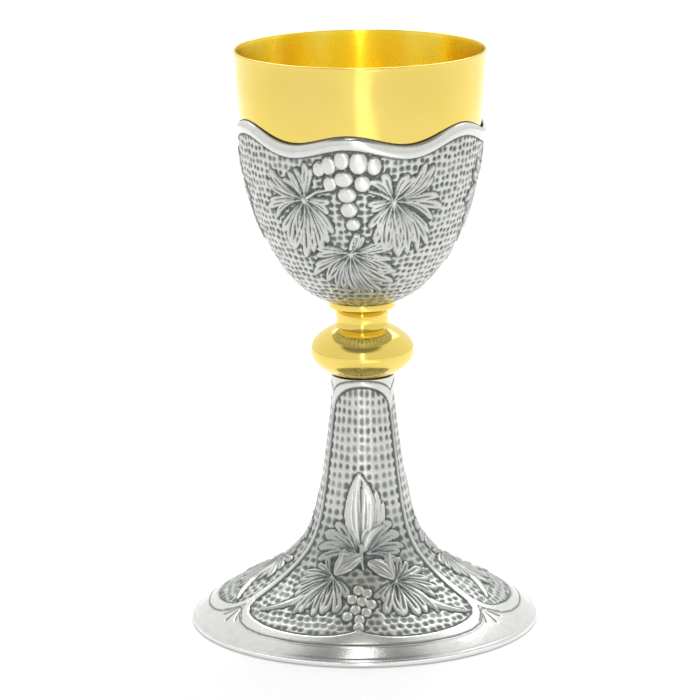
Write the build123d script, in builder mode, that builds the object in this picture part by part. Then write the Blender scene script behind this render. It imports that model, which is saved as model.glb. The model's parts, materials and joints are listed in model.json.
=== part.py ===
"""Communion chalice: a gilt cup in a chased silver calyx, on a gilt collar and knop and a silver stem and foot.

The pieces are threaded on one stud under the cup and pulled together by a nut inside the hollow stem.
The origin is the middle of the foot's underside, +Z is up and -Y is the front, where a vine panel is centred.
"""

from build123d import *
import math
import os

os.makedirs("parts", exist_ok=True)

# Driving dimensions, in millimetres
overall_height = 210.0
rim_diameter = 90.4
foot_diameter = 126.0
stem_top_diameter = 22.3
knop_diameter = 37.6
stem_height = 91.4
knop_height = 18.0
collar_height = 9.6
sheet = 0.9  # thickness of the spun and pressed sheets
stud_diameter = 8.0
thread_pitch = 1.25

# Sizes worked out from them
rim_radius = rim_diameter / 2
foot_radius = foot_diameter / 2
stem_top_radius = stem_top_diameter / 2
stud_radius = stud_diameter / 2
stud_hole_radius = stud_radius + 0.3  # holes that the stud passes through with room to spare
knop_middle = stem_height + knop_height / 2
knop_top = stem_height + knop_height
calyx_base = knop_top + collar_height

# The calyx's wavy upper edge: three equal waves, each with a small crest at its panel's middle
border_level = 184.5
border_swing = 0.9  # raises the crests between the panels, lowers the ones at their middles
border_ripple = 2.2
border_width = 5.0
border_thickness = 1.3
border_radius = 44.9

# The calyx bowl's outside as (radius, height above its base), from its flat base to its upper edge
calyx_seat_radius = 12.2
calyx_bowl = [
    (calyx_seat_radius, 0.0),
    (22.9, 6.0),
    (33.6, 21.0),
    (41.2, 43.0),
    (43.7, 58.5),
    (44.3, 70.0),
]
calyx_clearance = 0.5  # air between the calyx and the cup inside it

# The stem and foot's outside as (radius, height), from the top of the stem to the foot's edge
foot_ring_height = 1.6
stem_and_foot = [
    (stem_top_radius, stem_height),
    (12.5, 74.0),
    (15.1, 54.0),
    (17.8, 40.0),
    (21.6, 30.5),
    (29.0, 22.5),
    (40.0, 15.6),
    (52.0, 9.0),
    (foot_radius - 0.3, foot_ring_height),
]

# Clamping hardware
boss_height = 2.8
boss_radius = 9.0
top_plate_height = 3.0
washer_height = 1.6
washer_radius = 9.0
nut_height = 6.5
nut_across_flats = 13.0
nut_turns = 10  # turns that take the nut from tight almost to the stud's end
stud_tail = 3.8  # stud left below the nut when it has come down that far

cup_floor = calyx_base + sheet + boss_height
washer_top = stem_height - top_plate_height
nut_top = washer_top - washer_height
nut_travel = nut_turns * thread_pitch
stud_end = nut_top - nut_height - nut_travel - stud_tail


def parallel(points, distance):
    """Points at a distance to the left of a line of (radius, height) points, looking along it."""
    moved = []
    last = len(points) - 1
    for index, (radius, height) in enumerate(points):
        before = points[max(index - 1, 0)]
        after = points[min(index + 1, last)]
        run = after[0] - before[0]
        rise = after[1] - before[1]
        length = math.hypot(run, rise)
        moved.append((radius - distance * rise / length, height + distance * run / length))
    return moved


def border_height(turn):
    """Height of the calyx's upper edge at an angle, in degrees, from the middle of a panel."""
    angle = math.radians(turn)
    return border_level - border_swing * math.cos(3 * angle) + border_ripple * math.cos(6 * angle)


def wave_line(radius, drop):
    """Closed wavy line round the axis, a drop below the calyx's upper edge."""
    points = []
    for turn in range(0, 360, 5):
        angle = math.radians(turn)
        points.append((radius * math.sin(angle), -radius * math.cos(angle), border_height(turn) - drop))
    return Edge.make_spline([Vector(*point) for point in points], periodic=True)


def space_above_wave(drop):
    """Ring of space over the wavy line, used to cut the sheets and the border to it."""
    inside = wave_line(border_radius - 8, drop)
    outside = wave_line(border_radius + 8, drop)
    surface = Face.make_surface_from_curves(inside, outside)
    return Solid.extrude(surface, Vector(0, 0, overall_height / 4))


above_border = space_above_wave(0)
above_shell = space_above_wave(border_width)

# Cup: a spun bowl, parallel to the calyx inside it, that opens to a lip turned slightly outwards
cup_bowl = parallel(calyx_bowl[1:-1], sheet + calyx_clearance)
cup_outline = [(radius, height + calyx_base) for radius, height in cup_bowl]
cup_outline = [(boss_radius + 4, cup_floor)] + cup_outline
cup_outline = cup_outline + [(rim_radius - 1.0, overall_height - 14), (rim_radius, overall_height)]
cup_inner = parallel(cup_outline, sheet)
cup_inner[-1] = (rim_radius - sheet, overall_height)
with BuildPart() as cup:
    with BuildSketch(Plane.XZ):
        with BuildLine():
            Line((0, cup_floor), cup_outline[0])
            Spline(*cup_outline, tangents=((1, 0.1), (0.1, 1)))
            Line(cup_outline[-1], cup_inner[-1])
            Spline(*cup_inner, tangents=((1, 0.1), (0.1, 1)))
            Line(cup_inner[0], (0, cup_inner[0][1]))
            Line((0, cup_inner[0][1]), (0, cup_floor))
        make_face()
    revolve()
    fillet(cup.edges().group_by(Axis.Z)[-1], sheet * 0.4)
cup.part.label = "cup"
export_step(cup.part, "parts/cup.step")

# Boss brazed under the bowl: it rests on the calyx's base and holds the stud
with BuildPart() as cup_boss:
    with BuildSketch(Plane.XY.offset(calyx_base + sheet)):
        Circle(boss_radius)
        Circle(stud_radius, mode=Mode.SUBTRACT)
    extrude(amount=boss_height)
cup_boss.part.label = "cup_boss"
export_step(cup_boss.part, "parts/cup_boss.step")

# Stud: from the underside of the bowl down through the whole stack
with BuildPart() as cup_stud:
    with BuildSketch(Plane.XY.offset(stud_end)):
        Circle(stud_radius)
    extrude(amount=cup_floor - stud_end)
    chamfer(cup_stud.edges().group_by(Axis.Z)[0], 0.8)
cup_stud.part.label = "cup_stud"
export_step(cup_stud.part, "parts/cup_stud.step")

# Calyx: the chased shell round the lower bowl, cut to the wavy line under its border
calyx_outline = [(radius, height + calyx_base) for radius, height in calyx_bowl]
calyx_inner = parallel(calyx_outline, sheet)
calyx_inner[0] = (calyx_seat_radius, calyx_base + sheet)
with BuildPart() as calyx_shell:
    with BuildSketch(Plane.XZ):
        with BuildLine():
            Line((stud_hole_radius, calyx_base), calyx_outline[0])
            Spline(*calyx_outline, tangents=((1, 0.2), (0, 1)))
            Line(calyx_outline[-1], calyx_inner[-1])
            Spline(*calyx_inner, tangents=((1, 0.2), (0, 1)))
            Line(calyx_inner[0], (stud_hole_radius, calyx_base + sheet))
            Line((stud_hole_radius, calyx_base + sheet), (stud_hole_radius, calyx_base))
        make_face()
    revolve()
    add(above_shell, mode=Mode.SUBTRACT)
calyx_shell.part.label = "calyx_shell"
export_step(calyx_shell.part, "parts/calyx_shell.step")

# Border: a polished moulding that stands on the shell's wavy edge and follows it
border_band = 3 * border_width
with BuildPart() as calyx_border:
    with BuildSketch(Plane.XY.offset(border_level - border_band)):
        Circle(border_radius)
        Circle(border_radius - border_thickness, mode=Mode.SUBTRACT)
    extrude(amount=2 * border_band)
    add(above_border, mode=Mode.SUBTRACT)
    add(above_shell, mode=Mode.INTERSECT)
calyx_border.part.label = "calyx_border"
export_step(calyx_border.part, "parts/calyx_border.step")

# Collar: a turned spool, its flange under the calyx, its waist above the knop and its base on it
flange_height = 1.8
waist_radius = 8.8
waist_height = 2.8
base_radius = 9.9
flange_edge = (calyx_seat_radius, calyx_base - flange_height)
with BuildPart() as collar:
    with BuildSketch(Plane.XZ):
        with BuildLine():
            Line((stud_hole_radius, calyx_base), (calyx_seat_radius, calyx_base))
            Line((calyx_seat_radius, calyx_base), flange_edge)
            Spline(
                flange_edge,
                (waist_radius, knop_top + waist_height),
                (base_radius, knop_top),
                tangents=((-1, -0.3), (0.7, -1)),
            )
            Line((base_radius, knop_top), (stud_hole_radius, knop_top))
            Line((stud_hole_radius, knop_top), (stud_hole_radius, calyx_base))
        make_face()
    revolve()
    fillet(collar.edges().filter_by(GeomType.CIRCLE).group_by(SortBy.RADIUS)[-1], 0.5)
collar.part.label = "collar"
export_step(collar.part, "parts/collar.step")

# Knop: two pressed halves of an oblate ring, which meet at its widest circle
knop_reach = 28.0  # half axes of the ellipse that the knop's outside follows
knop_rise = 12.5
knop_centre = knop_diameter / 2 - knop_reach


def knop_radius_at(height, inset):
    """Radius of the knop's outside, or of its inside, at a height from its middle."""
    rise = knop_rise - inset
    reach = knop_reach - inset
    return knop_centre + reach * math.sqrt(1 - (height / rise) ** 2)


knop_seat = knop_height / 2  # height of the flat seat round the stud, from the knop's middle
knop_under_seat = knop_seat - sheet
seat_radius = knop_radius_at(knop_seat, 0)
under_seat_radius = knop_radius_at(knop_under_seat, sheet)
outer_sweep = math.degrees(math.asin(knop_seat / knop_rise))
inner_sweep = math.degrees(math.asin(knop_under_seat / (knop_rise - sheet)))
with BuildPart() as knop_upper_shell:
    with BuildSketch(Plane((0, 0, knop_middle), x_dir=(1, 0, 0), z_dir=(0, -1, 0))):
        with BuildLine():
            middle = (knop_centre, 0)
            EllipticalCenterArc(middle, knop_reach, knop_rise, arc_size=outer_sweep)
            EllipticalCenterArc(middle, knop_reach - sheet, knop_rise - sheet, arc_size=inner_sweep)
            Line((knop_diameter / 2, 0), (knop_diameter / 2 - sheet, 0))
            Line((seat_radius, knop_seat), (stud_hole_radius, knop_seat))
            Line((stud_hole_radius, knop_seat), (stud_hole_radius, knop_under_seat))
            Line((stud_hole_radius, knop_under_seat), (under_seat_radius, knop_under_seat))
        make_face()
    revolve()
knop_upper_shell.part.label = "knop_upper_shell"
export_step(knop_upper_shell.part, "parts/knop_upper_shell.step")

with BuildPart() as knop_lower_shell:
    add(knop_upper_shell.part)
    mirror(about=Plane.XY.offset(knop_middle), mode=Mode.REPLACE)
knop_lower_shell.part.label = "knop_lower_shell"
export_step(knop_lower_shell.part, "parts/knop_lower_shell.step")

# Sleeve: the tube between the knop's two seats, which carries the nut's pull past the thin shells
sleeve_radius = 6.3
with BuildPart() as knop_sleeve:
    with BuildSketch(Plane.XY.offset(stem_height + sheet)):
        Circle(sleeve_radius)
        Circle(stud_hole_radius, mode=Mode.SUBTRACT)
    extrude(amount=knop_height - 2 * sheet)
knop_sleeve.part.label = "knop_sleeve"
export_step(knop_sleeve.part, "parts/knop_sleeve.step")

# Stem and foot: one spun sheet from under the knop to the foot's edge
stem_foot_inner = parallel(stem_and_foot, -sheet)
stem_foot_inner[0] = (stem_top_radius - sheet, stem_height)
stem_foot_inner[-1] = (stem_and_foot[-1][0] - 2 * sheet, foot_ring_height)
with BuildPart() as stem_foot:
    with BuildSketch(Plane.XZ):
        with BuildLine():
            Spline(*stem_and_foot, tangents=((0, -1), (1, -0.8)))
            Line(stem_and_foot[-1], stem_foot_inner[-1])
            Spline(*stem_foot_inner, tangents=((0, -1), (1, -0.8)))
            Line(stem_foot_inner[0], stem_and_foot[0])
        make_face()
    revolve()
stem_foot.part.label = "stem_foot"
export_step(stem_foot.part, "parts/stem_foot.step")

# Top plate: the disc soldered in the top of the stem
with BuildPart() as stem_top_plate:
    with BuildSketch(Plane.XY.offset(washer_top)):
        Circle(stem_top_radius - sheet)
        Circle(stud_hole_radius, mode=Mode.SUBTRACT)
    extrude(amount=top_plate_height)
stem_top_plate.part.label = "stem_top_plate"
export_step(stem_top_plate.part, "parts/stem_top_plate.step")

# Foot ring: the flat ring under the foot's edge, on which the chalice stands
foot_ring_width = 5.0
with BuildPart() as foot_ring:
    with BuildSketch(Plane.XY):
        Circle(foot_radius)
        Circle(foot_radius - foot_ring_width, mode=Mode.SUBTRACT)
    extrude(amount=foot_ring_height)
    fillet(foot_ring.edges().filter_by(GeomType.CIRCLE).group_by(SortBy.RADIUS)[-1], 0.4)
foot_ring.part.label = "foot_ring"
export_step(foot_ring.part, "parts/foot_ring.step")

# Washer and nut on the stud, pressed against the top plate from below
with BuildPart() as clamp_washer:
    with BuildSketch(Plane.XY.offset(nut_top)):
        Circle(washer_radius)
        Circle(stud_radius + 0.2, mode=Mode.SUBTRACT)
    extrude(amount=washer_height)
clamp_washer.part.label = "clamp_washer"
export_step(clamp_washer.part, "parts/clamp_washer.step")

nut_running_clearance = 0.05
nut_corner_radius = nut_across_flats / math.sqrt(3)
nut_face_radius = nut_across_flats / 2 - 0.1
nut_bottom = nut_top - nut_height
with BuildPart() as clamp_nut:
    with BuildSketch(Plane.XY.offset(nut_bottom)):
        RegularPolygon(nut_corner_radius, 6)
        Circle(stud_radius + nut_running_clearance, mode=Mode.SUBTRACT)
    extrude(amount=nut_height)
    with BuildSketch(Plane.XZ):
        with BuildLine():
            Polyline(
                (0, nut_bottom),
                (nut_face_radius, nut_bottom),
                (nut_corner_radius, nut_bottom + 0.6),
                (nut_corner_radius, nut_top - 0.6),
                (nut_face_radius, nut_top),
                (0, nut_top),
                close=True,
            )
        make_face()
    revolve(mode=Mode.INTERSECT)
clamp_nut.part.label = "clamp_nut"
export_step(clamp_nut.part, "parts/clamp_nut.step")
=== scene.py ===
"""Looks of the communion chalice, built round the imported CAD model.

The chased sheets are meshes of rings round the axis. Their relief is a height over the sheet's smooth
surface, made from leaves, grapes, stems, hammered dimples and polished frames. Lengths are in
millimetres until a mesh is made. Turns are in degrees round the axis from the front (-Y), positive
towards +X, and "along" is the distance along a sheet's outline.
"""

import bpy
import json
import math
import numpy as np
from mathutils import Euler, Matrix, Vector

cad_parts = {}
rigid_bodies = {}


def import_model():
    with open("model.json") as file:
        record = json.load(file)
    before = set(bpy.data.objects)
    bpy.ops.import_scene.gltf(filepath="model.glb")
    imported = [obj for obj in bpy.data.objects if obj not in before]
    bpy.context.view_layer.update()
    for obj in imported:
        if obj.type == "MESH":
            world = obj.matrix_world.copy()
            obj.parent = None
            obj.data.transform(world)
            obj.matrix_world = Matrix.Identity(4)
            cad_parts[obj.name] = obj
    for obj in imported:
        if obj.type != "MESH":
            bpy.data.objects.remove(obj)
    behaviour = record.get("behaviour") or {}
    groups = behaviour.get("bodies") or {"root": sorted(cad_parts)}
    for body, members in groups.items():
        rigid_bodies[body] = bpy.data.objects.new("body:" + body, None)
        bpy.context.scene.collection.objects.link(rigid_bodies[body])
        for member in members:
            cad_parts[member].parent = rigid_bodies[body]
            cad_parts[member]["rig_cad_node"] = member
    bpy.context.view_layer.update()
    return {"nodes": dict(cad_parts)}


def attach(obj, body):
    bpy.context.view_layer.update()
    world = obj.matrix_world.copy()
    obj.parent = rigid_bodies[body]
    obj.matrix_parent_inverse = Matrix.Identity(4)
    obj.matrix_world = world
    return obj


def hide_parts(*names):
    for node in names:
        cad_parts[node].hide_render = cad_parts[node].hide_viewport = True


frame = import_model()
nodes = frame["nodes"]
SECTORS = 3
rng = np.random.default_rng(7)

# Heights where pieces meet or end, and the radii of their bores
CUP_BASE, CALYX_BASE, COLLAR_BASE, STUD_END = 122.7, 119.0, 109.4, 64.0
COLLAR_BORE, KNOP_BORE = 4.3, 4.4
SHEET, CHASED_SHEET = 0.9, 0.85  # thickness of the plain sheets and of the chased ones


# ---------------------------------------------------------------- outlines

class Outline:
    """Smooth curve through a few (radius, height) points, with its length, and its normal on the outside."""

    def __init__(self, points, start, end, side=1):
        p = np.array(points, float)
        t = np.concatenate([[0], np.cumsum(np.hypot(*np.diff(p, axis=0).T))])
        h = np.diff(t)
        n = len(p)
        a = np.eye(n)
        b = np.zeros((n, 2))
        b[0] = np.array(start) / np.hypot(*start)
        b[-1] = np.array(end) / np.hypot(*end)
        for i in range(1, n - 1):
            a[i, i - 1:i + 2] = h[i], 2 * (h[i - 1] + h[i]), h[i - 1]
            b[i] = 3 * (h[i] * (p[i] - p[i - 1]) / h[i - 1] + h[i - 1] * (p[i + 1] - p[i]) / h[i])
        slope = np.linalg.solve(a, b)
        line = []
        for i in range(n - 1):
            u = np.linspace(0, 1, max(8, int(h[i] / 0.08)), endpoint=i == n - 2)[:, None]
            line.append((2 * u**3 - 3 * u**2 + 1) * p[i] + (u**3 - 2 * u**2 + u) * h[i] * slope[i]
                        + (3 * u**2 - 2 * u**3) * p[i + 1] + (u**3 - u**2) * h[i] * slope[i + 1])
        line = np.vstack(line)
        step = np.gradient(line, axis=0)
        step /= np.hypot(*step.T)[:, None]
        self.r, self.z = line.T
        self.nr, self.nz = side * step[:, 1], -side * step[:, 0]
        self.s = np.concatenate([[0], np.cumsum(np.hypot(*np.diff(line, axis=0).T))])
        self.length = self.s[-1]

    def at(self, along):
        return tuple(np.interp(along, self.s, q) for q in (self.r, self.z, self.nr, self.nz))

    def along_at(self, height):
        order = np.argsort(self.z)
        return np.interp(height, self.z[order], self.s[order])


def place(turn, radius, height):
    """Points in space, in millimetres, at turns round the axis."""
    a = np.radians(turn)
    return np.stack(np.broadcast_arrays(radius * np.sin(a), -radius * np.cos(a), height), axis=-1)


def smoothstep(a, b, x):
    t = np.clip((x - a) / (b - a), 0, 1)
    return t * t * (3 - 2 * t)


# ---------------------------------------------------------------- relief

class Relief:
    """Heights over one third of a sheet, with the tools that chase it."""

    def __init__(self, outline, columns, rows):
        self.outline = outline
        self.turn = (np.arange(columns) / columns - 0.5) * 360 / SECTORS
        self.along = np.linspace(0, outline.length, rows)
        self.T, self.S = np.meshgrid(self.turn, self.along)
        self.R = outline.at(self.S)[0]
        self.P = place(self.T, self.R, outline.at(self.S)[1])
        self.H = np.zeros_like(self.S)
        self.cover = np.zeros_like(self.S)   # 1 where a leaf, grape or stalk stands on the ground
        self.polish = np.zeros_like(self.S)  # 1 where the metal is plain and bright
        self.oxide_and_shade = np.zeros_like(self.S)   # oxide laid on at given places, and painted shade along the calyx's border

    def chart(self, turn, along):
        """Measures points from one place of the sheet: to the right, up along the sheet, and off it."""
        r, z, nr, nz = self.outline.at(along)
        a = math.radians(turn)
        right = np.array([math.cos(a), math.sin(a), 0])
        normal = np.array([nr * math.sin(a), -nr * math.cos(a), nz])
        up = np.cross(normal, right)
        if up[2] < 0:
            up = -up
        middle = place(turn, r, z)
        return lambda points: tuple((points - middle) @ axis for axis in (right, up, normal))

    def raise_to(self, where, height):
        """Adds metal up to a height in a window of the grid."""
        higher = height > self.H[where]
        self.H[where] = np.where(higher, height, self.H[where])
        self.cover[where] = np.maximum(self.cover[where], np.clip(height / 0.25, 0, 1))

    def window(self, turn, along, reach):
        """The part of the grid near a point, as slices."""
        r = float(self.outline.at(along)[0])
        rows = np.flatnonzero(np.abs(self.along - along) < reach)
        wide = math.degrees(reach / max(r - 0.3 * reach, 4)) if r > 0.45 * reach else 60
        columns = np.flatnonzero(np.abs(self.turn - turn) < min(wide, 75))
        return slice(rows[0], rows[-1] + 1), slice(columns[0], columns[-1] + 1)

    def berry(self, turn, along, wide, high, height=1.0):
        """A grape with a flat top, its half width and half height given."""
        w = self.window(turn, along, 2.2 * max(wide, high))
        x, y, _ = self.chart(turn, along)(self.P[w])
        q = np.hypot(x / wide, y / high)
        self.raise_to(w, height * np.clip(1 - q**4, 0, 1)**0.6)
        self.oxide_and_shade[w] *= q > 1

    def stalk(self, points, width, height=0.7):
        """Rounded ridge along a few (turn, along) points, thinner at its end."""
        pts = np.array(points, float)
        u = np.linspace(0, 1, 40)
        k = np.linspace(0, 1, len(pts))
        line = np.stack([np.interp(u, k, pts[:, 0]), np.interp(u, k, pts[:, 1])], 1)
        soft = np.convolve(np.pad(line[:, 0], 4, "edge"), np.ones(9) / 9, "valid")
        line[4:-4, 0] = soft[4:-4]
        for (turn, along), f in zip(line, u):
            w = self.window(turn, along, 2 * width)
            x, y, _ = self.chart(turn, along)(self.P[w])
            q = np.hypot(x, y) / (width * (1 - 0.45 * f))
            self.raise_to(w, height * np.clip(1 - q * q, 0, 1)**0.5)

    def leaf(self, turn, along, lobes, height=0.75, rib=2.7, hollow=0.15):
        """A vine leaf: lobes fan out from the point where its veins meet. Each lobe is (turn, along, spread,
        bend) with its tip's place. It is made of curved fingers with round ends and a slit along each."""
        chart = self.chart(turn, along)
        tips = [chart(place(t, *self.outline.at(s)[:2])) for t, s, _, _ in lobes]
        reach = max(math.hypot(x, y) for x, y, _ in tips)
        w = self.window(turn, along, 1.35 * reach)
        x, y, depth = chart(self.P[w])
        near = depth > -1.1 * reach
        top = np.zeros_like(x)
        shade = np.zeros_like(x)
        for (_, _, spread, bend), (tx, ty, _) in zip(lobes, tips):
            length = math.hypot(tx, ty)
            middle = math.atan2(ty, tx)
            fan = math.radians(spread)
            count = max(2, round(fan * length * 0.9 / rib))
            strong = rng.uniform(0.88, 1.12)
            for k in range(count):
                off = (2 * k + 1) / count - 1
                angle = middle + fan / 2 * off
                ends = length * (1.05 - 0.24 * abs(off)**1.6) * rng.uniform(0.95, 1.03)
                half = min(0.5 * fan / count * ends * 0.95, 0.62 * rib)
                t = (x * math.cos(angle) + y * math.sin(angle)) / ends
                u = np.clip(t, 0, 1)
                across = -x * math.sin(angle) + y * math.cos(angle)
                across -= (bend + 0.10 * off) * length * (u * u - 0.55 * u) * 1.8
                across -= 0.16 * rib * np.sin(5.0 * u + 2.1 * k + 3 * middle) * u
                taper = np.sqrt(np.clip(1 - (np.clip(t - 0.84, 0, 1) / 0.16)**2, 0, 1))
                width = half * (0.25 + 0.75 * np.clip(t / 0.7, 0, 1)) * taper + 1e-4
                q = across / width
                slit = smoothstep(0.22, 0.38, t) * (1 - smoothstep(0.76, 0.90, t))
                body = np.clip(1 - q**4, 0, 1)**0.5 * (1 - 0.62 * slit * np.exp(-(q / 0.26)**2))
                lift = hollow + (1 - hollow) * smoothstep(0.12, 0.55, t)
                lift = lift * (1 - 0.25 * off * off) * (1 - 0.30 * smoothstep(0.75, 1, t)) * strong
                inside = (t > 0.015) & (taper > 0) & near & (np.abs(q) < 1)
                higher = inside & (height * lift * body > top)
                top = np.where(higher, height * lift * body, top)
                dull = 0.15 + 0.40 * (1 - smoothstep(0.18, 0.60, t)) + 0.12 * slit * np.exp(-(q / 0.3)**2)
                shade = np.where(higher, dull, shade)
            vein = np.abs(-x * math.sin(middle) + y * math.cos(middle))
            run = (x * math.cos(middle) + y * math.sin(middle)) / length
            on_vein = np.clip(1 - (vein / 0.34)**2, 0, 1) * (run > 0) * (run < 0.55)
            top = np.maximum(top, 0.5 * on_vein)
            shade *= 1 - 0.8 * on_vein
        self.oxide_and_shade[w] = np.where(top > self.H[w], shade, self.oxide_and_shade[w])
        self.raise_to(w, top)

    def petal(self, base, tip, half, height=0.9, bend=0.0, ribs=2, point=0.5):
        """A pointed petal or a curled leaf tip, from its base to its tip, with shallow grooves along it."""
        chart = self.chart(*base)
        tx, ty, _ = chart(place(tip[0], *self.outline.at(tip[1])[:2]))
        length, angle = math.hypot(tx, ty), math.atan2(ty, tx)
        w = self.window(*base, 1.3 * length + half)
        x, y, depth = chart(self.P[w])
        t = (x * math.cos(angle) + y * math.sin(angle)) / length
        u = np.clip(t, 0, 1)
        across = -x * math.sin(angle) + y * math.cos(angle) - bend * length * 4 * u * (1 - u)
        swelling, ending = (u / 0.45)**0.55, np.clip((1 - u) / 0.55, 0, 1)**point
        width = np.where(u < 0.45, half * swelling, half * ending) + 1e-4
        q = across / width
        groove = np.abs(np.sin(math.pi / 2 * (ribs * q + ribs % 2)))**6
        body = np.clip(1 - q * q, 0, 1)**0.5 * (1 - 0.30 * groove)
        lift = 0.35 + 0.65 * smoothstep(0.0, 0.4, t)
        self.raise_to(w, np.where((t > 0) & (t < 1) & (depth > -1.1 * length), height * lift * body, 0))

    def blurred(self, field, reach):
        """A field made soft over a reach in millimetres, round the sheet and along it."""
        k = SECTORS * np.arange(field.shape[1] // 2 + 1)
        soft = np.fft.rfft(field, axis=1) * np.exp(-0.5 * (k[None, :] * reach / self.R[:, :1])**2)
        soft = np.fft.irfft(soft, field.shape[1], axis=1)
        step = self.along[1] - self.along[0]
        n = max(1, int(3 * reach / step))
        weights = np.exp(-0.5 * (np.arange(-n, n + 1) * step / reach)**2)
        weights /= weights.sum()
        padded = np.pad(soft, ((n, n), (0, 0)), "edge")
        return sum(wt * padded[i:i + field.shape[0]] for i, wt in enumerate(weights))

    def dimples(self, where, row, counts, depth, wide=0.54, tall=0.52, stagger=0.0, wander=0.14):
        """Hammered dimples in rows. Counts gives how many lie in a third of a row at each place along."""
        line = np.floor(self.S / row).astype(int)
        count = np.round(counts(line * row + row / 2)).astype(int)
        cell = (self.T / (360 / SECTORS) + 0.5) * count + stagger * (line % 2)
        column = np.floor(cell).astype(int)
        key = (line * 7919 + (column % count) * 104729) % 100003
        jx = np.sin(key * 12.9898) * wander
        jy = np.sin(key * 78.233) * wander
        size = 1 + 0.16 * np.sin(key * 3.7)
        dx = (cell - column - 0.5 - jx) / (wide * size)
        dy = (self.S / row - line - 0.5 - jy) / (tall * size)
        q = np.hypot(dx, dy)
        self.H -= where * depth * np.clip(1 - q**2.3, 0, 1)**1.1 * (1 + 0.22 * np.sin(key * 5.1))

    def moat(self, reach, depth, inside):
        """Sinks the ground next to what stands on it."""
        edge = self.blurred(self.cover, reach) * (1 - self.cover)
        self.H -= depth * np.clip(edge * 2.4, 0, 1) * inside

    def patina_and_shade(self):
        """0 on rubbed high places, 1 in the oxidised hollows and in the painted shade along the calyx's
        border.
        """
        fine = self.blurred(self.H, 0.7) - self.H
        broad = self.blurred(self.H, 2.2) - self.H
        low = smoothstep(-0.14, 0.52, fine * 1.5 + broad * 0.6)
        low = low + 0.10 * (1 - np.clip(self.cover, 0, 1))
        return np.clip(low * (1 - 0.9 * self.polish) + self.oxide_and_shade, 0, 1)


# ---------------------------------------------------------------- meshes

def ring_mesh(name, rows, attributes=None, closed=False):
    """Mesh of rings, each a row of points in millimetres. A row has as many points as the one before it,
    twice as many, or half as many."""
    points = np.vstack(rows) / 1000
    starts = np.concatenate([[0], np.cumsum([len(r) for r in rows])])
    pairs = [(i, i + 1) for i in range(len(rows) - 1)] + ([(len(rows) - 1, 0)] if closed else [])
    loops, totals = [], []
    for i, k in pairs:
        n, m = len(rows[i]), len(rows[k])
        a, b = starts[i], starts[k]
        j = np.arange(min(n, m))
        if n == m:
            face = [a + j, a + (j + 1) % n, b + (j + 1) % n, b + j]
        elif m == 2 * n:
            face = [a + j, a + (j + 1) % n, b + (2 * j + 2) % m, b + 2 * j + 1, b + 2 * j]
        else:
            face = [a + 2 * j, a + 2 * j + 1, a + (2 * j + 2) % n, b + (j + 1) % m, b + j]
        face = np.stack(face, axis=1)
        loops.append(face.ravel())
        totals.append(np.full(len(face), face.shape[1]))
    loops, totals = np.concatenate(loops), np.concatenate(totals)
    mesh = bpy.data.meshes.new(name)
    mesh.vertices.add(len(points))
    mesh.vertices.foreach_set("co", points.astype(np.float32).ravel())
    mesh.loops.add(len(loops))
    mesh.loops.foreach_set("vertex_index", loops.astype(np.int32))
    mesh.polygons.add(len(totals))
    mesh.polygons.foreach_set("loop_start", (np.cumsum(totals) - totals).astype(np.int32))
    mesh.polygons.foreach_set("loop_total", totals.astype(np.int32))
    mesh.update(calc_edges=True)
    mesh.validate()
    mesh.polygons.foreach_set("use_smooth", np.ones(len(mesh.polygons), bool))
    for key, values in (attributes or {}).items():
        layer = mesh.attributes.new(key, "FLOAT", "POINT")
        layer.data.foreach_set("value", np.concatenate(values).astype(np.float32))
    piece = bpy.data.objects.new(name, mesh)
    bpy.context.scene.collection.objects.link(piece)
    return piece


def chased(name, relief, counts, thickness, edge=None, back=0.7):
    """The sheet itself: the chased face, its two edges and its back, which shows the relief more softly."""
    columns = len(relief.turn) * SECTORS
    turn = (np.arange(columns) / columns) * 360 - 60
    dark = relief.patina_and_shade()
    soft = relief.blurred(np.clip(relief.H, -0.3, 0.6), 1.3)
    rows, darks, plains = [], [], []
    for i, s in enumerate(relief.along):
        step = columns // counts(s)
        t = turn[::step]
        h = np.tile(relief.H[i], SECTORS)[::step]
        at = np.full(len(t), s) if edge is None else edge(t, s)
        r, z, nr, nz = relief.outline.at(at)
        rows.append(place(t, r + h * nr, z + h * nz))
        darks.append(np.tile(dark[i], SECTORS)[::step])
        plains.append(np.tile(relief.polish[i], SECTORS)[::step])
    faces = len(rows)
    for i in list(range(faces - 1, 0, -5)) + [0]:
        s = relief.along[i]
        step = columns // counts(s)
        t = turn[::step]
        h = back * np.tile(soft[i], SECTORS)[::step] - thickness
        at = np.full(len(t), s) if edge is None else edge(t, s)
        r, z, nr, nz = relief.outline.at(at)
        rows.append(place(t, r + h * nr, z + h * nz))
        darks.append(0.22 + 0.5 * np.clip(h + thickness, -0.1, 0.3))
        plains.append(np.full(len(t), 0.6))
    return ring_mesh(name, rows, {"dark": darks, "plain": plains}, closed=True)


def turned(name, outline_points, segments=256, closed=True):
    """Turned piece: a closed (radius, height) outline revolved round the axis."""
    t = np.arange(segments) / segments * 360
    rows = [place(t, r, z) for r, z in outline_points]
    piece = ring_mesh(name, rows, closed=closed)
    piece.data.set_sharp_from_angle(angle=math.radians(35))
    return piece


# ---------------------------------------------------------------- calyx

def border_height(turn):
    """Height of the top of the wavy border."""
    a = np.radians(turn)
    return 184.5 - 0.9 * np.cos(3 * a) + 2.2 * np.cos(6 * a)


calyx_line = Outline(
    [(12.2, CALYX_BASE), (22.9, 125), (33.6, 140), (41.2, 162), (43.7, 177.5), (44.3, 189)], (1, 0.2), (0, 1))
calyx = Relief(calyx_line, 252, 226)

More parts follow.
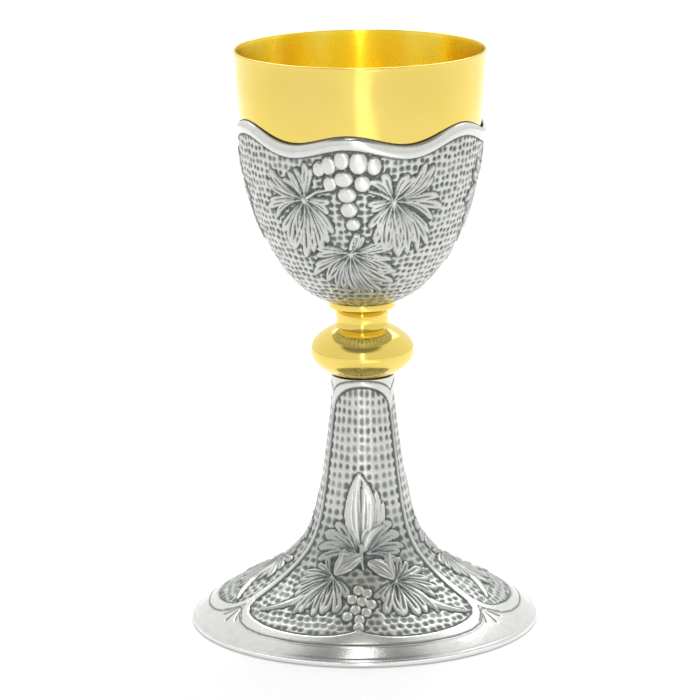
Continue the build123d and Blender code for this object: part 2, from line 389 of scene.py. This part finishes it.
calyx.leaf(-23, 54.7, [
    (-20.5, 67.5, 34, 0.10), (-31, 64.5, 24, 0.16), (-45, 60.5, 24, -0.16), (-48, 52, 26, 0.18),
    (-40, 38.5, 30, 0.16), (-26.5, 31.5, 26, -0.10), (-13.5, 36.5, 30, -0.16), (-7.6, 43, 20, -0.22),
    (-9, 53.5, 34, -0.14)])
calyx.leaf(21.8, 54.5, [
    (14, 65, 36, 0.12), (29, 65, 30, -0.16), (44, 63.5, 26, 0.20), (48.5, 53, 30, -0.16),
    (47, 38, 26, -0.22), (36, 34, 28, -0.20), (25, 34, 26, 0.06), (14.5, 36.5, 28, 0.18),
    (9, 44, 24, 0.22), (9, 53, 34, 0.10)])
calyx.leaf(-0.5, 34, [
    (-21, 36, 26, 0.16), (-27, 26.5, 30, 0.20), (-17, 19.5, 26, 0.18), (-4, 15, 30, 0.16),
    (13, 14.5, 30, 0.14), (25, 19.5, 28, 0.12), (26, 29, 28, -0.14), (20, 36.5, 34, -0.10),
    (7, 41.5, 26, 0.10)], hollow=0.08)
calyx.stalk([(21.8, 54.5), (15, 57.5), (9.6, 58.7)], 0.75)
calyx.stalk([(-23, 54.7), (-16, 58), (-10, 59)], 0.7)
calyx.stalk([(-0.5, 36), (0.5, 39), (2.8, 42)], 0.7)
for turn, along, wide, high in [
        (-14, 66.5, 1.9, 2.4), (-9.2, 67.9, 2.2, 2.9), (-3.1, 70, 2.3, 3.0), (4.6, 68.9, 2.8, 3.5),
        (11.8, 67.8, 2.2, 2.9), (-9, 61.3, 2.1, 2.4), (-2.4, 63, 2.8, 2.5), (6.4, 61.5, 2.4, 2.7),
        (-1, 57.2, 2.7, 2.5), (-0.3, 51.6, 2.5, 2.5), (1.6, 45.9, 2.1, 2.2), (2.8, 41.6, 0.8, 0.8)]:
    calyx.berry(turn, along, 1.23 * wide, 1.18 * high)
ground = 1 - calyx.cover
calyx.dimples(
    ground, 2.6, lambda s: np.select([s > 56, s > 38, s > 22, s > 10], [36, 32, 26, 18], 12), 0.36)
calyx.moat(0.55, 0.30, 1)
calyx.H += 0.05 * calyx.blurred(rng.standard_normal(calyx.H.shape), 1.1) * 6

border_low = calyx_line.along_at(border_height(calyx.T) - 5.0)
calyx.H *= 1 - smoothstep(-0.6, 0.9, calyx.S - border_low)


def calyx_edge(turn, along):
    """Gathers the rows past the shell's wavy edge under the border."""
    end = calyx_line.along_at(border_height(turn) - 3.2)
    return np.where(along < end, along, end + 0.01 * (along - end))


# Painted shade: a dark line on the shell along the border's lower edge, standing in for the shadow under the
# border
calyx.oxide_and_shade += 0.8 * np.exp(-((calyx.S - border_low + 0.1) / 0.4)**2)
calyx_piece = chased("chased_calyx", calyx, lambda s: 378 if s < 15 else 756, CHASED_SHEET, calyx_edge)

# Half-round border on the shell's wavy edge. A narrow ledge along its top, its back and its lower edge carry
# painted shade, standing in for the shadow gaps against the cup and the shell
t = np.arange(720) / 2
sweep = np.radians(np.linspace(-90, 90, 19))
section = [(43.62 + 1.28 * abs(math.cos(a))**0.8, 2.28 * math.sin(a) - 0.17, 0.0) for a in sweep]
# Painted shade: 0.8 on the lower edge, full on the top ledge and the back
section[0] = (43.62, -2.5, 0.8)
section += [(43.66, 2.14, 1.0), (43.72, 2.5, 1.0), (43.5, 2.55, 1.0), (43.45, -2.4, 1.0)]
painted_gap_shade = [np.full(len(t), q) for _, _, q in section]
border = ring_mesh("calyx_moulding", [place(t, r, border_height(t) - 2.5 + z) for r, z, _ in section],
                   {"dark": painted_gap_shade, "plain": [1 - q for q in painted_gap_shade]}, closed=True)


# ---------------------------------------------------------------- stem and foot

foot_line = Outline(
    [(11.15, 91.4), (12.5, 74), (15.1, 54), (17.8, 40), (21.6, 30.5), (29, 22.5), (40, 15.6), (52, 9),
     (62.7, 1.6)],
    (0, -1), (1, -0.8), -1)
foot = Relief(foot_line, 336, 314)
FOOT_TURN = 3.0  # degrees that the foot's decoration is turned from the calyx's
PANEL_HALF = 57.3  # degrees from a panel's middle to its side

# Panel: an arch at the stem's top, straight sides, and a foot like a bracket with a cusp in its middle
side = np.abs(foot.T)
arch = 2.8 + 9.7 * (1 - np.sqrt(np.clip(1 - (side / PANEL_HALF)**2, 0, 1)))
field_end = np.interp(
    side, [0, 4, 9.5, 16, 23, 31, 40, 48, 53, 56, PANEL_HALF],
    [98, 99.5, 100.9, 101.6, 101.8, 101.5, 100.7, 99.2, 97.6, 95.2, 92])
frame_end = np.interp(
    side, [0, 20, 38, 46, 52, 55.5, 57.8, 60], [105.4, 105.6, 105.2, 104.4, 102.8, 100.8, 98.3, 95.4])
arch_top = 0.3 + 5.7 * (1 - np.sqrt(np.clip(1 - (side / 60)**2, 0, 1)))
field_gap = np.minimum.reduce([(PANEL_HALF - side) * np.pi / 180 * foot.R, foot.S - arch, field_end - foot.S])
field = smoothstep(-0.15, 0.25, field_gap)
frame_gap = np.minimum(foot.S - arch_top, frame_end - foot.S)
between = (60 - side) * np.pi / 180 * foot.R

foot.leaf(-20, 73, [
    (-37, 67, 30, -0.10), (-46, 74, 28, 0.12), (-43, 82, 24, 0.16), (-35, 90, 22, 0.16),
    (-24, 92, 26, 0.10), (-12, 91, 24, -0.12), (-7, 82, 30, -0.14)], height=0.8, rib=3.1)
foot.petal((-20, 74), (-49, 95), 2.0, 0.8, 0.12)
foot.petal((-21, 75), (-31, 93), 2.2, 1.0, -0.08)
foot.petal((-19, 72), (1, 63.5), 3.6, 1.1, 0.10, 3, 0.35)
foot.petal((-20, 72), (-16, 61.5), 2.7, 0.9, -0.08, 2, 0.35)
foot.leaf(24, 75, [
    (41, 67, 30, 0.10), (51, 73, 28, -0.12), (49, 82, 24, -0.16), (38, 91, 22, -0.16),
    (26, 93, 26, -0.10), (14, 92, 24, 0.12), (9, 83, 30, 0.14)], height=0.8, rib=3.1)
foot.petal((25, 76), (51.5, 96), 2.1, 0.8, -0.12)
foot.petal((26, 76), (38, 93), 1.9, 1.0, 0.08)
foot.petal((24, 74), (6, 66), 3.4, 1.05, -0.10, 3, 0.35)
foot.petal((24, 74), (26, 63.5), 2.5, 0.9, 0.08, 2, 0.35)
foot.leaf(-3, 64, [
    (-46, 62, 26, 0.20), (-45, 56.5, 24, 0.18), (-34, 53, 26, 0.14),
    (-19, 54, 30, 0.14)], rib=2.6, height=0.8)
foot.leaf(5, 63, [(38, 52.5, 26, -0.12), (44, 57.5, 24, -0.16), (38, 64, 24, -0.12)], rib=2.6, height=0.75)
foot.petal((2, 62), (26, 53), 3.6, 1.05, 0.12, 2, 0.35)
foot.petal((-2, 66), (-21, 63), 2.6, 1.0, -0.10, 2, 0.35)
foot.petal((5, 60), (19, 40), 2.3, 0.6, -0.10, 3, 0.5)
foot.petal((4, 60), (28, 44.5), 2.0, 0.55, -0.10, 2, 0.5)
foot.petal((0, 60), (-16, 47), 2.4, 0.8, 0.10, 3, 0.45)
foot.petal((2, 60), (8, 38), 2.2, 0.9, -0.10, 2, 0.5)
foot.petal((1, 60), (4, 36.5), 3.0, 0.75, -0.04, 3, 0.5)
foot.petal((-1, 61), (-3, 33.8), 3.3, 1.1, 0.10, 3, 0.5)
foot.stalk([(-3.5, 34.5), (2, 36.5), (8, 39.5), (14, 42)], 0.7, 0.95)
foot.stalk([(0, 60), (0, 65), (2, 69)], 0.8, 0.9)
for turn, along in [
        (-1.0, 78.4), (4.2, 79.8), (-4.0, 82.8), (1.4, 83.8), (6.2, 85.2),
        (-1.8, 88.0), (3.6, 89.2), (-5.2, 91.4), (0.4, 92.8), (0.2, 96.6)]:
    foot.berry(turn, along, 2.0, 2.25)
foot.H *= 0.78
ground = np.clip(field - foot.cover, 0, 1)
upper = 1 - smoothstep(60, 66, foot.S)
foot.dimples(ground * upper, 3.35, lambda s: np.full_like(s, 11), 0.30, wide=0.52, tall=0.50, wander=0.06)
foot.dimples(
    ground * (1 - upper), 2.9, lambda s: np.select([s > 92, s > 84, s > 74], [34, 28, 22], 16), 0.26,
    stagger=0.5)
foot.moat(0.5, 0.30, field)

# Polished frames stand above the fields, with incised lines along them
foot.H += (1 - field) * 0.42
foot.H -= 0.45 * np.exp(-(field_gap / 0.32)**2)
foot.H -= 0.30 * np.exp(-(frame_gap / 0.26)**2)
foot.H -= 0.16 * np.exp(-(between / 0.22)**2) * smoothstep(5, 9, foot.S) * (1 - smoothstep(94, 96, foot.S))
outside = smoothstep(0.2, 0.9, -frame_gap) * (foot.S > 50)
foot.H -= 0.22 * outside
foot.H -= 0.35 * np.exp(-((foot.S - 111.6) / 0.22)**2)
foot.polish = (1 - field) * (1 - np.exp(-(field_gap / 0.45)**2))
foot.polish *= 1 - 0.9 * np.exp(-(frame_gap / 0.45)**2)
foot.oxide_and_shade += 0.55 * np.exp(-(frame_gap / 0.42)**2) + 0.45 * np.exp(-(field_gap / 0.45)**2)
# Spandrels between the panels' feet, each with a small leaf of engraved strokes
for lean, far in [(0.0, 9.0), (0.50, 7.5), (1.05, 6.0)]:
    out = foot.S - 96.5
    line = between - lean * out - 0.05 * lean * out**2
    stroke = np.exp(-(line / (0.16 + 0.05 * out.clip(0, 9)))**2)
    stroke *= smoothstep(0.4, 1.2, out) * (1 - smoothstep(far - 1, far, out))
    foot.H -= 0.28 * stroke
    foot.polish *= 1 - 0.9 * stroke
    foot.oxide_and_shade += 0.6 * stroke
foot.oxide_and_shade += 0.22 * field * smoothstep(44, 60, foot.S)
foot_end = smoothstep(0, 1.2, foot_line.length - foot.S)
foot.H *= foot_end


def foot_counts(along):
    """Points in a ring of the mesh, more where the foot is wider."""
    return 252 if along < 45 else 504 if along < 68 else 1008


foot_piece = chased("chased_stem_and_foot", foot, foot_counts, CHASED_SHEET)
foot_piece.data.transform(Matrix.Rotation(math.radians(FOOT_TURN), 4, "Z"))


# ---------------------------------------------------------------- turned pieces

def offset(outline, distance, samples):
    """Points along an outline, moved inwards by the sheet's thickness."""
    s = np.linspace(0, outline.length, samples)
    r, z, nr, nz = outline.at(s)
    return list(zip(r - distance * nr, z - distance * nz))


# Cup: outside, rounded lip and inside
CUP_SEGMENTS = 288
cup_line = Outline(
    [(13, CUP_BASE), (22.25, 127.24), (32.37, 140.69), (39.82, 162.24), (42.3, 177.6), (44.2, 196),
     (45.2, 210)], (1, 0.1), (0.1, 1))
outer = offset(cup_line, 0, 110)[:-1]
inner = offset(cup_line, SHEET, 110)[:-1]
lip = np.radians(np.linspace(100, -100, 13))
bead = [(44.75 + 0.46 * math.sin(a), 209.54 + 0.46 * math.cos(a)) for a in lip]
cup_outline = [(0.01, CUP_BASE)] + outer + bead + inner[::-1] + [(0.01, CUP_BASE + SHEET)]
cup = turned("gilt_cup", cup_outline, CUP_SEGMENTS, closed=False)

# Collar: flange with rounded edges, waist and base. Its flange is 0.6 mm deeper and its waist 0.6 mm more
# in radius than the CAD collar's
flange_foot = 116.6
spool = Outline([(12.2, flange_foot), (9.4, 112.2), (9.9, COLLAR_BASE)], (-1, -0.3), (0.7, -1))
bend = np.radians(np.linspace(0, 90, 7))
collar_line = [(COLLAR_BORE, CALYX_BASE), (11.2, CALYX_BASE)]
collar_line += [(11.7 + 0.5 * math.sin(q), CALYX_BASE - 0.5 + 0.5 * math.cos(q)) for q in bend]
collar_line += [(11.75 + 0.45 * math.cos(q), flange_foot + 0.3 - 0.45 * math.sin(q)) for q in bend]
collar_line += list(zip(*spool.at(np.linspace(0.6, spool.length, 54))[:2]))
collar_line += [(COLLAR_BORE, COLLAR_BASE)]
collar = turned("gilt_collar", collar_line)

# Knop: two pressed halves that meet at its widest circle
KNOP_MIDDLE, KNOP_HALF_HEIGHT = 100.4, 9.0
KNOP_REACH, KNOP_RISE, KNOP_CENTRE = 28, 12.5, -9.2  # half axes and middle of the outside's ellipse


def knop_half(name, way):
    """The upper half where way is 1, the lower where it is -1."""
    def arc(thickness, steps):
        return [(KNOP_CENTRE + (KNOP_REACH - thickness) * math.cos(end * k),
                 (KNOP_RISE - thickness) * math.sin(end * k)) for k in steps]

    end = math.asin(KNOP_HALF_HEIGHT / KNOP_RISE)
    outside = arc(0, np.linspace(0, 1, 60))
    seat = [(r, KNOP_HALF_HEIGHT) for r in np.linspace(outside[-1][0] - 0.25, KNOP_BORE, 8)]
    line = outside + seat + [(KNOP_BORE, KNOP_HALF_HEIGHT - SHEET)] + arc(SHEET, np.linspace(0.93, 0, 24))
    return turned(name, [(r, KNOP_MIDDLE + way * z) for r, z in line][::way])


knop_top = knop_half("gilt_knop_top", 1)
knop_base = knop_half("gilt_knop_base", -1)

# Stud: M8 coarse thread with a chamfered lower end
THREAD_PITCH, THREAD_DEPTH = 1.25, 0.70
t = np.arange(48) / 48 * 360
stud_rows = [place(t, 0.02, STUD_END)]
for z in np.arange(STUD_END, CUP_BASE, THREAD_PITCH / 8):
    phase = (z / THREAD_PITCH - t / 360) % 1
    depth = THREAD_DEPTH * np.clip(2.3 * (1 - np.abs(2 * phase - 1)) - 0.9, 0, 1)
    stud_rows.append(place(t, np.minimum(3.98 - depth, 3.2 + (z - STUD_END)), z))
stud_rows += [place(t, 3.9, CUP_BASE - 0.02), place(t, 0.02, CUP_BASE)]
stud = ring_mesh("threaded_stud", stud_rows)
stud.data.set_sharp_from_angle(angle=math.radians(50))

# Foot ring, with a small step between it and the foot's edge
ring = turned(
    "foot_edge_ring",
    [(58, 0.25), (58.25, 0), (62.4, 0), (62.85, 0.15), (63.0, 0.5), (63.0, 1.15), (62.85, 1.5),
     (62.5, 1.6), (58.2, 1.6), (58, 1.4)], 384)

for piece in (calyx_piece, border, foot_piece, cup, collar, knop_top, knop_base, stud, ring):
    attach(piece, "chalice")
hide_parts("calyx_shell")
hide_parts("calyx_border")
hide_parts("stem_foot")
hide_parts("cup")
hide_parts("collar")
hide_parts("knop_upper_shell")
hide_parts("knop_lower_shell")
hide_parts("foot_ring")
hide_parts("cup_stud")


# ---------------------------------------------------------------- materials

def material(name, slot_name, *pieces):
    """A material on pieces, with its node tree and its shader. Its slot name is not used."""
    m = bpy.data.materials.new(name)
    m.use_nodes = True
    for piece in pieces:
        piece.data.materials.clear()
        piece.data.materials.append(m)
    return m.node_tree, m.node_tree.nodes["Principled BSDF"]


def node(tree, kind, settings=None, **links):
    """A shader node with settings or input values by name, and links to inputs by name or as i0, i1."""
    n = tree.nodes.new("ShaderNode" + kind)
    for key, value in (settings or {}).items():
        if hasattr(n, key):
            setattr(n, key, value)
        else:
            n.inputs[key].default_value = value
    for key, source in links.items():
        numbered = key[0] == "i" and key[1:].isdigit()
        tree.links.new(source, n.inputs[int(key[1:]) if numbered else key])
    return n


def ramp(tree, source, stops):
    """Colours by a value, from (value, colour) stops."""
    n = tree.nodes.new("ShaderNodeValToRGB")
    tree.links.new(source, n.inputs[0])
    while len(n.color_ramp.elements) < len(stops):
        n.color_ramp.elements.new(0.5)
    for e, (at, colour) in zip(n.color_ramp.elements, stops):
        e.position = at
        e.color = (*colour, 1)
    return n.outputs[0]


def noise(tree, scale, detail=2.0, stretch=(1, 1, 1)):
    """Noise in the object's own space, which a stretch makes finer along an axis."""
    spot = tree.nodes.new("ShaderNodeTexCoord").outputs["Object"]
    spot = node(tree, "Mapping", {"Scale": stretch}, Vector=spot).outputs[0]
    return node(tree, "TexNoise", {"Scale": scale, "Detail": detail}, Vector=spot).outputs["Fac"]


def grey(v):
    return (v, v, v)


def metal(name, slot_name, pieces, colour, rough, spin, worn):
    """Bright metal: faint lines left by turning and polishing, cloudy gloss and fine scratches."""
    tree, shader = material(name, slot_name, *pieces)
    shader.inputs["Metallic"].default_value = 1.0
    tone = ramp(tree, noise(tree, 60, 4), [(0.3, colour), (0.7, worn)])
    tree.links.new(tone, shader.inputs["Base Color"])
    lines = noise(tree, 1.0, 3, (30, 30, 2600))
    scratch = noise(tree, 900, 3)
    gloss = node(
        tree, "MapRange", {"From Min": 0.3, "From Max": 0.7, "To Min": rough[0], "To Max": rough[1]},
        Value=noise(tree, 140, 5))
    tree.links.new(gloss.outputs[0], shader.inputs["Roughness"])
    both = node(tree, "Math", {"operation": "ADD"}, i0=lines, i1=scratch)
    bump = node(tree, "Bump", {"Strength": spin, "Distance": 0.0002}, Height=both.outputs[0])
    tree.links.new(bump.outputs[0], shader.inputs["Normal"])
    return tree, shader


GOLD, GOLD_WORN = (0.83, 0.63, 0.135), (0.84, 0.655, 0.175)
metal("polished_gilt", "gold_plate", [cup, collar, knop_top, knop_base], GOLD, (0.10, 0.16), 0.05, GOLD_WORN)

# Inside the cup the gilt is left satin by the polisher's strokes up and down. Its colour is painted
# reflection: vertical streaks of deep orange to pale gold, brighter and more saturated than the outside's
# gilt, stand in for lamps and gilt mirrored round the inside
satin, shader = metal("satin_gilt", "gold_plate", [], GOLD, (0.24, 0.32), 0.01, GOLD_WORN)
reflection_streak_noise = noise(satin, 1.0, 0, (80, 80, 1))
# Painted reflection streaks in the colour, from noise stretched up and down
painted_reflection_streaks = ramp(satin, reflection_streak_noise, [
    (0.36, (0.93, 0.64, 0.03)), (0.5, (0.98, 0.75, 0.05)), (0.62, (1.0, 0.86, 0.13))])
satin.links.new(painted_reflection_streaks, shader.inputs["Base Color"])
shader.inputs["Anisotropic"].default_value = 0.85
shader.inputs["Anisotropic Rotation"].default_value = 0.25
around = node(satin, "Tangent", {"direction_type": "RADIAL", "axis": "Z"})
satin.links.new(around.outputs[0], shader.inputs["Tangent"])
cup.data.materials.append(bpy.data.materials["satin_gilt"])
inside = np.zeros(len(cup.data.polygons), np.int32)
inside[CUP_SEGMENTS * (len(outer) + len(bead)):] = 1
cup.data.polygons.foreach_set("material_index", inside)

metal("polished_silver_plate", "polished_silver", [ring],
      (0.83, 0.83, 0.82), (0.12, 0.2), 0.06, (0.78, 0.78, 0.78))
metal("plain_brass", "plain_brass", [nodes["cup_boss"], nodes["knop_sleeve"], nodes["stem_top_plate"]],
      (0.62, 0.44, 0.17), (0.25, 0.42), 0.2, (0.5, 0.35, 0.14))
metal("zinc_plated_steel", "zinc_steel", [stud, nodes["clamp_washer"], nodes["clamp_nut"]],
      (0.6, 0.61, 0.62), (0.25, 0.45), 0.25, (0.5, 0.52, 0.55))


def antique(name, pieces):
    """Silver plate that is darkened in its hollows and rubbed bright on its high places. Its dark attribute
    also holds painted shade along the calyx's border.
    """
    tree, shader = material(name, "antique_silver", *pieces)
    dark = node(tree, "Attribute", {"attribute_name": "dark"}).outputs["Fac"]
    plain = node(tree, "Attribute", {"attribute_name": "plain"}).outputs["Fac"]
    mixed = node(tree, "Math", {"operation": "MULTIPLY_ADD", "use_clamp": True}, i0=noise(tree, 260, 4))
    mixed.inputs[1].default_value = 0.35
    mixed.inputs[2].default_value = -0.17
    total = node(tree, "Math", {"operation": "ADD", "use_clamp": True}, i0=dark, i1=mixed.outputs[0])
    tone = ramp(tree, total.outputs[0], [
        (0.0, (0.71, 0.71, 0.685)), (0.3, (0.52, 0.53, 0.505)),
        (0.62, (0.295, 0.31, 0.295)), (1.0, (0.15, 0.17, 0.165))])
    tree.links.new(tone, shader.inputs["Base Color"])
    shader.inputs["Metallic"].default_value = 1.0
    rough = node(tree, "MapRange", {"To Min": 0.27, "To Max": 0.58}, Value=total.outputs[0])
    less = node(tree, "Math", {"operation": "MULTIPLY"}, i0=plain)
    less.inputs[1].default_value = -0.08
    gloss = node(tree, "Math", {"operation": "ADD"}, i0=rough.outputs[0], i1=less.outputs[0])
    tree.links.new(gloss.outputs[0], shader.inputs["Roughness"])
    bump = node(tree, "Bump", {"Strength": 0.15, "Distance": 0.0002}, Height=noise(tree, 1400, 3))
    tree.links.new(bump.outputs[0], shader.inputs["Normal"])


antique("antique_silver", [calyx_piece, foot_piece, border])


# ---------------------------------------------------------------- floor, light and camera

scene = bpy.context.scene
scene.view_settings.view_transform = "Standard"
bpy.ops.mesh.primitive_plane_add(size=12, location=(0, 0, 0))
floor = bpy.context.object
floor.name = "floor"
tree, shader = material("pale_floor", None)
floor.data.materials.append(bpy.data.materials["pale_floor"])
shader.inputs["Base Color"].default_value = (0.97, 0.97, 0.97, 1)
shader.inputs["Roughness"].default_value = 0.9

world = bpy.data.worlds.new("studio")
scene.world = world
world.use_nodes = True
background = world.node_tree.nodes["Background"]
background.inputs["Strength"].default_value = 1.0
direction = world.node_tree.nodes.new("ShaderNodeTexCoord").outputs["Generated"]
split = node(world.node_tree, "SeparateXYZ", None, Vector=direction)
depth = node(world.node_tree, "MapRange", {"From Min": -1.0, "From Max": 1.0}, Value=split.outputs["Y"])
wall = ramp(world.node_tree, depth.outputs[0], [(0.3, grey(0.93)), (0.55, grey(0.98)), (1.0, grey(1.08))])
above = node(world.node_tree, "VectorMath", {"operation": "DOT_PRODUCT"}, i0=direction)
above.inputs[1].default_value = (0, -0.35, 0.94)
ceiling = ramp(world.node_tree, above.outputs["Value"], [(0.80, grey(1.0)), (0.89, grey(0.28))])
tone = node(world.node_tree, "Mix", {"data_type": "RGBA", "blend_type": "MULTIPLY"})
tone.inputs[0].default_value = 1.0
world.node_tree.links.new(wall, tone.inputs[6])
world.node_tree.links.new(ceiling, tone.inputs[7])
world.node_tree.links.new(tone.outputs[2], background.inputs["Color"])


def lamp(name, location, size, power, target=(0, 0, 0.1)):
    """A rectangular lamp aimed at a target, unseen by the camera. Places and sizes are in metres."""
    data = bpy.data.lights.new(name, "AREA")
    data.shape = "RECTANGLE"
    data.size, data.size_y = size
    data.energy = power
    holder = bpy.data.objects.new(name, data)
    holder.location = location
    holder.rotation_euler = (Vector(target) - Vector(location)).to_track_quat("-Z", "Y").to_euler()
    holder.visible_camera = False
    scene.collection.objects.link(holder)


lamp("overhead", (0.02, 0.1, 1.3), (0.16, 1.3), 2.2)
lamp("back_fill", (0, 1.0, 1.2), (1.6, 0.8), 12, (0, 0.6, 0))
lamp("table_glow", (0.095, -0.95, 0.004), (0.16, 1.6), 0.36, (0.095, -0.95, 1.0))
lamp("front_strip", (0.1, -1.0, 0.30), (0.07, 0.9), 1.0)

AZIMUTH, PITCH, ROLL = math.radians(5.8), math.radians(13.24), math.radians(0.486)
DISTANCE, CAMERA_HEIGHT = 1.390, 0.427  # metres
camera_data = bpy.data.cameras.new("camera")
camera_data.sensor_width = 36
camera_data.lens = 203.4
camera_data.shift_x = -0.0179
camera = bpy.data.objects.new("camera", camera_data)
camera.location = (DISTANCE * math.sin(AZIMUTH), -DISTANCE * math.cos(AZIMUTH), CAMERA_HEIGHT)
look = Euler((math.pi / 2 - PITCH, 0, AZIMUTH)).to_matrix() @ Matrix.Rotation(ROLL, 3, "Z").inverted()
camera.rotation_euler = look.to_euler()
scene.collection.objects.link(camera)
scene.camera = camera
